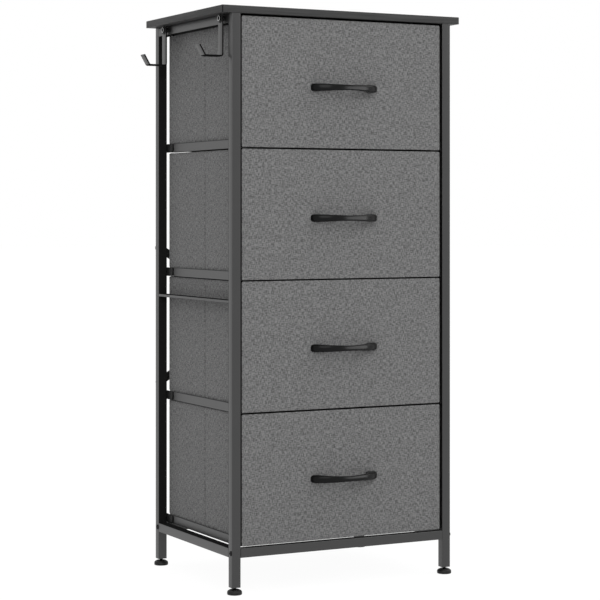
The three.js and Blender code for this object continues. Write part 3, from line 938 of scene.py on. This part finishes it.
def bow_handle(level, stops=44, section=24):
    name = f"drawer_{level}_handle"
    _, high, middle, size = measured(name)
    half, reach, foot_height = size.x / 2, size.y, size.z
    middle += Vector((PLAY_ASIDE, 0, PLAY_UP[level - 1]))
    rings = []
    for k in range(stops + 1):
        angle = math.pi * (1 - k / stops)
        ox, oy = superellipse(angle, half, reach, OUTER_POWER)
        ix, iy = superellipse(angle, half - FOOT_LENGTH, reach - BOW_THICKNESS, INNER_POWER)
        across = Vector((ox - ix, -(oy - iy), 0))
        centre = Vector((middle.x + (ox + ix) / 2, high.y - (oy + iy) / 2, middle.z))
        tall = BOW_HEIGHT + (foot_height - BOW_HEIGHT) * (abs(ox) / half) ** FLARE
        ring = []
        for j in range(section):
            u, v = superellipse(2 * math.pi * j / section, 0.5, 0.5, SQUARENESS)
            ring.append(centre + across * u + Vector((0, 0, tall * v)))
        rings.append(ring)
    handle = loft(name + "_bow", rings, ABS, sharp=60)
    return belongs(handle, f"drawer_{level}", "handle", name)


handles = [bow_handle(level) for level in LEVELS]
print([(h.name, len(h.data.polygons)) for h in handles])

# %% [markdown]
# ## Side hooks
#
# A hook is one strip of steel, 16 by 2.5 mm, bent three times: down from its screw, level
# for the tray and out again at the tip. The path is a list of corners that are rounded with
# arcs, and a flat section with slightly rounded edges is carried along it. Its two narrow
# edges and its faces turned downwards, under the tray, get a near-black finish that is
# painted shade.

# %% Hooks
HOOK_THICKNESS = 2.5 * MM
HOOK_STANDOFF = 3.8 * MM
TRAY_REACH = 31 * MM
TIP_LEAN, TIP_RISE = 10 * MM, 17.4 * MM
BEND = 3.2 * MM
BOSS = 8 * MM
HOOK_SCREW_DOWN = 6.4 * MM  # from the strap's top to its screw
HOOK_DROP = 1.8 * MM  # how much lower than in the CAD the tray hangs


def rounded_path(corners, radius, steps):
    """Replaces each inner corner with an arc. Points are 2-D."""
    points = [Vector(corners[0])]
    for before, here, after in zip(corners, corners[1:], corners[2:]):
        here = Vector(here)
        back, on = (Vector(before) - here).normalized(), (Vector(after) - here).normalized()
        half = back.angle(on) / 2
        centre = here + (back + on).normalized() * radius / math.sin(half)
        start = here + back * radius / math.tan(half) - centre
        end = here + on * radius / math.tan(half) - centre
        sweep = start.angle_signed(end)
        for k in range(steps + 1):
            turn = Matrix.Rotation(-sweep * k / steps, 2)
            points.append(centre + turn @ start)
    points.append(Vector(corners[-1]))
    return points


def hook(end):
    low, high, middle, size = measured(end + "_hook")
    strap = high.x - HOOK_STANDOFF - HOOK_THICKNESS / 2
    tray = low.z + HOOK_THICKNESS / 2 - HOOK_DROP
    bend = strap - TRAY_REACH
    tip = (bend - TIP_LEAN, tray + TIP_RISE)
    path = rounded_path([(strap, high.z), (strap, tray), (bend, tray), tip], BEND, 8)
    section = rounded_ring(size.y, HOOK_THICKNESS, 0.6 * MM, 3)
    rings = []
    for i, point in enumerate(path):
        along = (path[min(i + 1, len(path) - 1)] - path[max(i - 1, 0)]).normalized()
        ring = [(point.x - along.y * v, middle.y + u, point.y + along.x * v) for u, v in section]
        rings.append(ring)
    strip = loft(end + "_hook_strip", rings, STEEL, sharp=50)
    strip.data.materials.append(HOOK_EDGE_SHADE)
    # the narrow edges and the faces turned down take the near-black painted shade
    for face in strip.data.polygons:
        face.material_index = int(abs(face.normal.y) > 0.6 or face.normal.z < -0.6)
    belongs(strip, "frame", "steel", end + "_hook")
    inner, outer, bevel, depth = 2.3 * MM, BOSS / 2, 0.4 * MM, HOOK_STANDOFF - 0.02 * MM
    wall = [(inner, 0), (outer - bevel, 0), (outer, bevel)]
    wall += [(outer, depth - bevel), (outer - bevel, depth), (inner, depth)]
    centre = (high.x - HOOK_STANDOFF, middle.y, high.z - HOOK_SCREW_DOWN)
    spacer = turned(end + "_hook_spacer", centre, X, wall, STEEL, 40, closed=True)
    return belongs(spacer, "frame", "steel")


print([hook(end).name for end in ("front", "rear")])

# %% [markdown]
# ## Screw and bolt heads
#
# Small fasteners repeat, so one head is modelled and Geometry Nodes put a copy on each
# point. The points are a mesh without faces. A head is a low dome on a short skirt with
# a hexagon socket: a loft up its outside, over the dome and down into the socket.

# %% One head
def head_mesh(name, diameter, height, socket, segments=24):
    """A domed head on the plane z = 0, with its socket towards +Z."""
    rings = []
    for share, up in ((1.0, 0.0), (1.0, 0.45), (0.94, 0.7), (0.8, 0.88), (0.62, 0.98)):
        rings.append(circle((0, 0, 0), diameter / 2 * share, Z, height * up, segments))
    for up, shrink in ((1.0, 1.0), (0.45, 0.97)):
        ring = []
        for k in range(segments):
            angle = 2 * math.pi * k / segments
            sixth = (angle + math.pi / 6) % (math.pi / 3) - math.pi / 6
            flat = socket / 2 * shrink / math.cos(sixth)
            ring.append((flat * math.cos(angle), flat * math.sin(angle), height * up))
        rings.append(ring)
    return loft(name, rings, BLACK_STEEL, sharp=35)


def head_tree(head):
    tree, given, result = new_tree("heads_on_points", "Turn X", "Turn Y")
    tree.interface.new_socket("Points", in_out="INPUT", socket_type="NodeSocketObject")
    spots, one = (
        add(tree, "GeometryNodeObjectInfo", {"Object": thing}).outputs["Geometry"]
        for thing in (given["Points"], head)
    )
    turn = output(tree, "ShaderNodeCombineXYZ", {"X": given["Turn X"], "Y": given["Turn Y"]})
    placed = {"Points": spots, "Instance": one, "Rotation": turn}
    return put_on_points(tree, result, BLACK_STEEL, placed)


def heads(name, head, points, slot="bolt", turn_x=0.0, turn_y=0.0, nodes=()):
    """Copies of a head at points, turned from +Z by degrees about X and Y, on the frame."""
    cloud = bpy.data.meshes.new(name + "_points")
    cloud.from_pydata([tuple(p) for p in points], [], [])
    spots = show(name + "_points", cloud)
    turns = {"turn_x": math.radians(turn_x), "turn_y": math.radians(turn_y)}
    mesh = grow(head_tree(head), name, points=spots, **turns)
    bpy.data.objects.remove(spots)
    return belongs(place(name, mesh, BLACK_STEEL, 35), "frame", slot, *nodes)


BOLT_HEAD = head_mesh("bolt_head", 8.4 * MM, 1.9 * MM, 3 * MM)
TALL_HEAD = head_mesh("tall_head", 10 * MM, 3.2 * MM, 4 * MM)
LOW_HEAD = head_mesh("low_head", 10 * MM, 1.6 * MM, 4 * MM)
RIVET_HEAD = head_mesh("rivet_head", 5 * MM, 1.2 * MM, 1.4 * MM, 18)
print([h.name for h in (BOLT_HEAD, TALL_HEAD, LOW_HEAD, RIVET_HEAD)])

# %% [markdown]
# The frame bolts sit on the outer faces of the posts and the brace bolts on the braces'
# ends, low heads on the outer brace, which has a spacer behind it as thick as the inner
# one. One more bolt near the top of each rear post is for a wall strap, and the blackened
# screws under the top bars hold the board.

# %% Heads in place
OUTWARD = {"left": -1, "right": 1}


def outer_face(node, side):
    """The x of a node's face towards the outside."""
    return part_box(node)[SIDES.index(side)].x


def frame_bolts(side):
    nodes = [f"{end}_{side}_frame_bolt" for end in ("front", "rear")]
    face = outer_face(f"front_{side}_post", side)
    points = [(face, middle_of(node).y, middle_of(node).z) for node in nodes]
    turn = 90 * OUTWARD[side]
    return heads(f"{side}_frame_bolts", BOLT_HEAD, points, turn_y=turn, nodes=nodes)


STRAP_BOLT = 837 * MM
BRACE_END = 7 * MM  # from the brace's lowest edge to the middle of its bolt
SPACER_RADIUS = 4.6 * MM
back_of_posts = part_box("rear_left_post")[1].y
columns = (middle_of("rear_left_post").x, middle_of("rear_right_post").x)


def brace_points(brace):
    """Where the brace's left and right bolts come out of its back."""
    low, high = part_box(brace)
    heights = (low.z + BRACE_END, high.z - BRACE_END)
    if brace == "falling_brace":
        heights = heights[::-1]
    return [(x, high.y + HAIR, z) for x, z in zip(columns, heights)]


def brace_spacer(side, x, z):
    """Fills the other brace's thickness between the post and the falling brace."""
    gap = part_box("falling_brace")[0].y - back_of_posts
    ends = [(SPACER_RADIUS, HAIR), (SPACER_RADIUS, gap)]
    spacer = turned(f"{side}_brace_spacer", (x, back_of_posts, z), Y, ends, BLACK_STEEL, 24)
    return belongs(spacer, "frame", "bolt")


strap_points = [(x, back_of_posts, STRAP_BOLT) for x in columns]
# the black felt in the frame's openings is painted shade; this is its thickness
SHADE_FELT_THICKNESS = 0.3 * MM  # the felt that the board's screws go through
bar_low, _, _, bar_size = measured("left_top_bar")
board_points = [
    (middle_of(side + "_top_bar").x, bar_low.y + bar_size.y * share, bar_low.z - SHADE_FELT_THICKNESS)
    for side in SIDES
    for share in (0.15, 0.85)
]
placed = [frame_bolts(side) for side in SIDES]
for brace, head in (("rising_brace", TALL_HEAD), ("falling_brace", LOW_HEAD)):
    placed.append(heads(brace + "_bolts", head, brace_points(brace), turn_x=-90))
placed += [brace_spacer(s, x, z) for s, (x, _, z) in zip(SIDES, brace_points("falling_brace"))]
placed.append(heads("strap_bolts", TALL_HEAD, strap_points, turn_x=-90))
placed.append(heads("board_screws", BOLT_HEAD, board_points, "screw", turn_x=180))
print([p.name for p in placed])

# %% [markdown]
# ## Rail clips, weld tabs and rivets
#
# Near its rear end each rail carries a black nylon clip, a rounded block on the outside of
# its upright leg; the clip's black is also painted shade, where the rail goes dark by the
# rear post. At its front end a small steel tab, 20 mm long and reaching 4 mm below the
# rail, is welded into the corner with the post, which closes the view past the bin's corner.
# Both are the same flat block in other sizes, so one function lofts all sixteen.

# %% Clips and tabs
RAIL_GAUGE = 1.2 * MM
OVERHANG = 0.3 * MM  # how far a block stands past the rail's edge
CLIP_LENGTH, CLIP_THICKNESS, CLIP_GAP = 26 * MM, 2.6 * MM, 1.0 * MM  # the gap is to the post
TAB_LENGTH, TAB_THICKNESS, TAB_GAP = 20 * MM, 0.8 * MM, 0.35 * MM
TAB_DROP = 4 * MM
RIVET_UP, RIVET_SHIFT = 2 * MM, 1.5 * MM  # from the middles of the rail and of the post


def between_posts(side):
    """Where the front post ends and the rear post begins, along Y."""
    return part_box(f"front_{side}_post")[1].y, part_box(f"rear_{side}_post")[0].y


def block_on_rail(name, side, level, start, end, drop, thickness, material, slot):
    """A flat block on the outside of a rail's upright leg, rounded towards the outside."""
    rail = f"{side}_rail_{level}"
    low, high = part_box(rail)
    bottom, top = low.z - drop, high.z + OVERHANG
    corner = min(3 * MM, (end - start) / 4)
    rings = []
    for inset, rise in ((0.1, 0.0), (0.0, 0.08), (0.0, 0.6), (0.1, 0.88), (0.3, 1.0)):
        x = outer_face(rail, side) + OUTWARD[side] * (HAIR + rise * thickness)
        trim = 2 * inset * thickness
        ring = rounded_ring(end - start - trim, top - bottom - trim, corner)
        rings.append([(x, (start + end) / 2 + u, (bottom + top) / 2 + v) for u, v in ring])
    return belongs(loft(f"{rail}_{name}", rings, material), "frame", slot)


def rail_clip_and_shade(side, level):
    # the clip's black is partly painted shade at the rear post
    end = between_posts(side)[1] - CLIP_GAP
    size = (end - CLIP_LENGTH, end, OVERHANG, CLIP_THICKNESS)
    return block_on_rail("clip", side, level, *size, NYLON, "foot")


def weld_tab(side, level):
    start = between_posts(side)[0] + TAB_GAP
    size = (start, start + TAB_LENGTH, TAB_DROP, TAB_THICKNESS)
    return block_on_rail("tab", side, level, *size, STEEL, "steel")


def rivets(side):
    posts = [middle_of(f"{end}_{side}_post").y for end in ("front", "rear")]
    points = []
    for level in LEVELS:
        rail = f"{side}_rail_{level}"
        inner = outer_face(rail, side) - OUTWARD[side] * RAIL_GAUGE
        z = middle_of(rail).z + RIVET_UP
        points += [(inner, y + shift, z) for y, shift in zip(posts, (-RIVET_SHIFT, RIVET_SHIFT))]
    return heads(f"{side}_rail_rivets", RIVET_HEAD, points, turn_y=-90 * OUTWARD[side])


clips = [make(side, level) for make in (rail_clip_and_shade, weld_tab) for side in SIDES for level in LEVELS]
print(len(clips), "clips and tabs", [rivets(side).name for side in SIDES])

# %% [markdown]
# ## Black beads and felt: painted shade
#
# Two black details are painted shade. A black nylon bead lies over the top edge of each
# rail's upright leg, where the gap to the cloth is in shade, and black felt lines the inner
# faces of the two openings in each side frame, which are in shade too.

# %% Beads and felt of painted shade
SHADE_BEAD_WIDTH, SHADE_BEAD_HEIGHT = RAIL_GAUGE + 0.6 * MM, 0.9 * MM
SHADE_BEAD_GAPS = (0.5 * MM, 0.6 * MM)  # to the post in front and to the clip behind
SHADE_FELT_INSET = 0.2 * MM  # from the edges of the tubes


def painted_shade_bead(side, level):
    # a black bead on the leg's top edge: painted shade for the gap to the cloth
    rail = f"{side}_rail_{level}"
    leg, top = outer_face(rail, side) - OUTWARD[side] * RAIL_GAUGE / 2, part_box(rail)[1].z
    front, rear = between_posts(side)
    ends = (front + SHADE_BEAD_GAPS[0], rear - CLIP_GAP - CLIP_LENGTH - SHADE_BEAD_GAPS[1])
    section = rounded_ring(SHADE_BEAD_WIDTH, SHADE_BEAD_HEIGHT, 0.3 * MM, 2)
    rings = [[(leg + u, y, top + v) for u, v in section] for y in ends]
    return belongs(loft(rail + "_bead", rings, NYLON, sharp=50), "frame", "foot")


def shade_felt_round_opening(side, name, bar_below, bar_above):
    """Black felt round one opening of a side frame, painted shade: a thin section carried round
    four corners.
    """
    low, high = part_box(side + "_top_bar")
    x0, x1 = low.x + SHADE_FELT_INSET, high.x - SHADE_FELT_INSET
    front, rear = between_posts(side)
    bottom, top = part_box(bar_below)[1].z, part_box(bar_above)[0].z
    ahead, behind, below, above = (front, 1), (rear, -1), (bottom, 1), (top, -1)
    corners = (ahead + below, behind + below, behind + above, ahead + above)
    section = ((x0, HAIR), (x1, HAIR), (x1, SHADE_FELT_THICKNESS), (x0, SHADE_FELT_THICKNESS))
    rings = [[(x, y + dy * t, z + dz * t) for x, t in section] for y, dy, z, dz in corners]
    return belongs(loft(f"{side}_{name}_tape", rings, PAINTED_SHADE_FELT, closed=True, sharp=30), "frame", "foot")


def shade_felts(side):
    bottom, middle, top = (f"{side}_{level}_bar" for level in ("bottom", "middle", "top"))
    return shade_felt_round_opening(side, "lower", bottom, middle), shade_felt_round_opening(side, "upper", middle, top)


painted_shade_beads = [painted_shade_bead(side, level) for side in SIDES for level in LEVELS]
print(len(painted_shade_beads), "painted_shade_beads", [tape.name for side in SIDES for tape in shade_felts(side)])

# %% [markdown]
# ## Hook screws
#
# The hook's screw has a tall head: a blackened barrel with a bright zinc ring on its end
# face, and a nylon washer keeps it off the coat. The head is one metal: the bright ring is a
# painted highlight where its end face is lit, and the black barrel is painted shade on its side.
# They are three lofts on one axis.

# %% Hook screws
def hook_screw(end):
    node = end + "_hook_screw"
    low, _, middle, size = measured(node)
    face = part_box(end + "_hook")[1].x - HOOK_STANDOFF - HOOK_THICKNESS
    radius, tall = size.y / 2, face - low.x - HAIR
    barrel = [(radius - 0.2 * MM, 0), (radius, 0.3 * MM), (radius, tall - 0.5 * MM)]
    barrel += [(radius - 0.5 * MM, tall), (3.1 * MM, tall), (2.9 * MM, tall - 4 * MM)]
    ring = [(3.2 * MM, 0), (3.3 * MM, 0.12 * MM), (radius - 0.3 * MM, 0.12 * MM)]
    ring += [(radius - 0.1 * MM, 0), (radius - 0.3 * MM, -0.1 * MM), (3.3 * MM, -0.1 * MM)]
    washer = [(radius + 0.1 * MM, HAIR), (7.6 * MM, HAIR), (7.6 * MM, 0.9 * MM)]
    washer += [(7.2 * MM, 1.2 * MM), (radius + 0.1 * MM, 1.2 * MM)]
    made = []
    # the zinc ring is a painted highlight on the lit end face, the blackened barrel painted shade
    # on the side
    for part, x, profile, material, slot, nodes in (
        ("head", face, barrel, BLACK_STEEL, "bolt", [node]),
        ("ring", low.x + 0.1 * MM, ring, ZINC, "screw", []),
        ("washer", face, washer, NYLON, "foot", []),
    ):
        outwards = [(r, -along) for r, along in profile]
        centre = (x, middle.y, middle.z)
        piece = turned(f"{node}_{part}", centre, X, outwards, material, 40, 35, part != "head")
        made.append(belongs(piece, "frame", slot, *nodes).name)
    return made


print([hook_screw(end) for end in ("front", "rear")])

# %% [markdown]
# ## Finishes on the CAD nodes that stay
#
# The flat bars, the rails, the braces, the rivet and the handle screws keep their CAD shape
# and only get their finish.

# %% Finish the rest
for head in (BOLT_HEAD, TALL_HEAD, LOW_HEAD, RIVET_HEAD):
    bpy.data.objects.remove(head)
KEPT = {"steel": STEEL, "bolt": BLACK_STEEL, "screw": ZINC}
slots = {row["node"]: row["material_slot"] for row in frame["record"]["subparts"]}
finished = 0
for name, node in frame["nodes"].items():
    if not node.hide_render:
        node.data.materials.clear()
        node.data.materials.append(KEPT[slots[name]])
        finished += 1
print(finished, "CAD nodes finished")

# %% [markdown]
# ## Floor, light and background
#
# The studio is white: rays that come straight from the camera, or by way of a reflection,
# see a background of strength 1. The light that falls on the object is lower, and comes
# from the world and a few large lamps. The floor is a pale disc that keeps the object's
# shadow: a share of what the camera sees is plain white, and the rest is the lit floor. The
# same share holds for reflections, so the lower ends of the posts mirror a white room too.

# %% World
def background_rays(tree):
    """1 for camera, glossy and transmission rays."""
    rays = add(tree, "ShaderNodeLightPath").outputs
    share = rays["Is Camera Ray"]
    for ray in ("Is Glossy Ray", "Is Transmission Ray"):
        share = calculate(tree, "MAXIMUM", share, rays[ray])
    return share


AMBIENT = 0.55
WHITE = (1, 1, 1, 1)
world = bpy.data.worlds.new("white_studio")
bpy.context.scene.world = world
world.use_nodes = True
sky = world.node_tree
sky.nodes.clear()
ambient = output(sky, "ShaderNodeBackground", {"Color": WHITE, "Strength": AMBIENT})
white = output(sky, "ShaderNodeBackground", {"Color": WHITE, "Strength": 1.0})
seen = output(sky, "ShaderNodeMixShader", {0: background_rays(sky), 1: ambient, 2: white})
add(sky, "ShaderNodeOutputWorld", {"Surface": seen})


FLOOR_RADIUS, FLOOR_SIDES = 30, 64
FLOOR_GLOW, GLOW_SHARE = 1.06, 0.9


def studio_floor():
    material, tree, surface = finish("pale_floor", "#f0f0f0", 0.9)
    share = calculate(tree, "MULTIPLY", background_rays(tree), GLOW_SHARE)
    glow = output(tree, "ShaderNodeEmission", {"Color": WHITE, "Strength": FLOOR_GLOW})
    mixed = output(tree, "ShaderNodeMixShader", {0: share, 1: surface.outputs[0], 2: glow})
    tree.links.new(mixed, tree.nodes["Material Output"].inputs["Surface"])
    disc = bpy.data.meshes.new("floor")
    rim = circle((0, 0, 0), FLOOR_RADIUS, Z, -0.5 * MM, FLOOR_SIDES)
    disc.from_pydata(rim, [], [list(range(FLOOR_SIDES))])
    return place("floor", disc, material)


floor = studio_floor()
print("world and floor ready")

# %% [markdown]
# The lamps are large areas, so their shadows are soft. Each is aimed at the middle of the
# dresser. The last one lights only the handles: in a studio it is a strip box with flags
# round it, set where its reflection runs along the right half of each bow, and light
# linking keeps it off the cloth.

# %% Lamps
AIM = Vector((0, 0, 0.5))


def lamp(name, at, size, power):
    data = bpy.data.lights.new(name, "AREA")
    data.shape = "RECTANGLE"
    data.size, data.size_y = size
    data.energy = power
    light = show(name, data)
    light.location = at
    light.rotation_euler = (AIM - Vector(at)).to_track_quat("-Z", "Y").to_euler()
    return light


lamps = [
    lamp("key_from_the_front_left", (-1.6, -3.2, 1.8), (2.0, 2.0), 42),
    lamp("softbox_on_the_right", (2.6, -1.6, 2.6), (3.0, 2.0), 40),
    lamp("top_light", (0.2, 0.2, 3.2), (2.4, 2.4), 30),
    lamp("strip_box_for_the_handles", (1.44, -1.83, 0.6), (1.9, 1.4), 60),
]
handles_only = bpy.data.collections.new("handles_only")
for handle in handles:
    handles_only.objects.link(handle)
lamps[-1].light_linking.receiver_collection = handles_only
print([light.name for light in lamps])

# %% [markdown]
# ## Camera
#
# The photograph is taken from the front left with a long lens held level, a little above
# the middle of the dresser: uprights stay upright, and the frame is moved down with the
# lens's shift. The camera is placed from the front left post.

# %% Camera
YAW = 27.6  # degrees to the right of straight ahead
HEIGHT = 0.620
DISTANCE = 3.1075  # from the lens to the post's corner, along the view
ASIDE = -0.1097  # the corner's place to the right of the view's middle
FOCAL_PIXELS, HORIZON, FRAME = 1922.3, 212.1, 600  # in the photograph's 600 pixel frame

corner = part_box("front_left_post")[0]
ahead = Vector((math.sin(math.radians(YAW)), math.cos(math.radians(YAW)), 0))
aside = Vector((ahead.y, -ahead.x, 0))
spot = Vector((corner.x, corner.y, 0)) - ahead * DISTANCE - aside * ASIDE
lens = bpy.data.cameras.new("camera")
lens.sensor_width = 36
lens.lens = FOCAL_PIXELS / FRAME * lens.sensor_width
lens.shift_y = (HORIZON - FRAME / 2) / FRAME
camera = show("camera", lens)
camera.location = (spot.x, spot.y, HEIGHT)
camera.rotation_euler = (math.radians(90), 0, math.radians(-YAW))
bpy.context.scene.camera = camera
bpy.context.scene.view_settings.view_transform = "Standard"
print("camera at", [round(c, 3) for c in camera.location], "lens", round(lens.lens, 1))
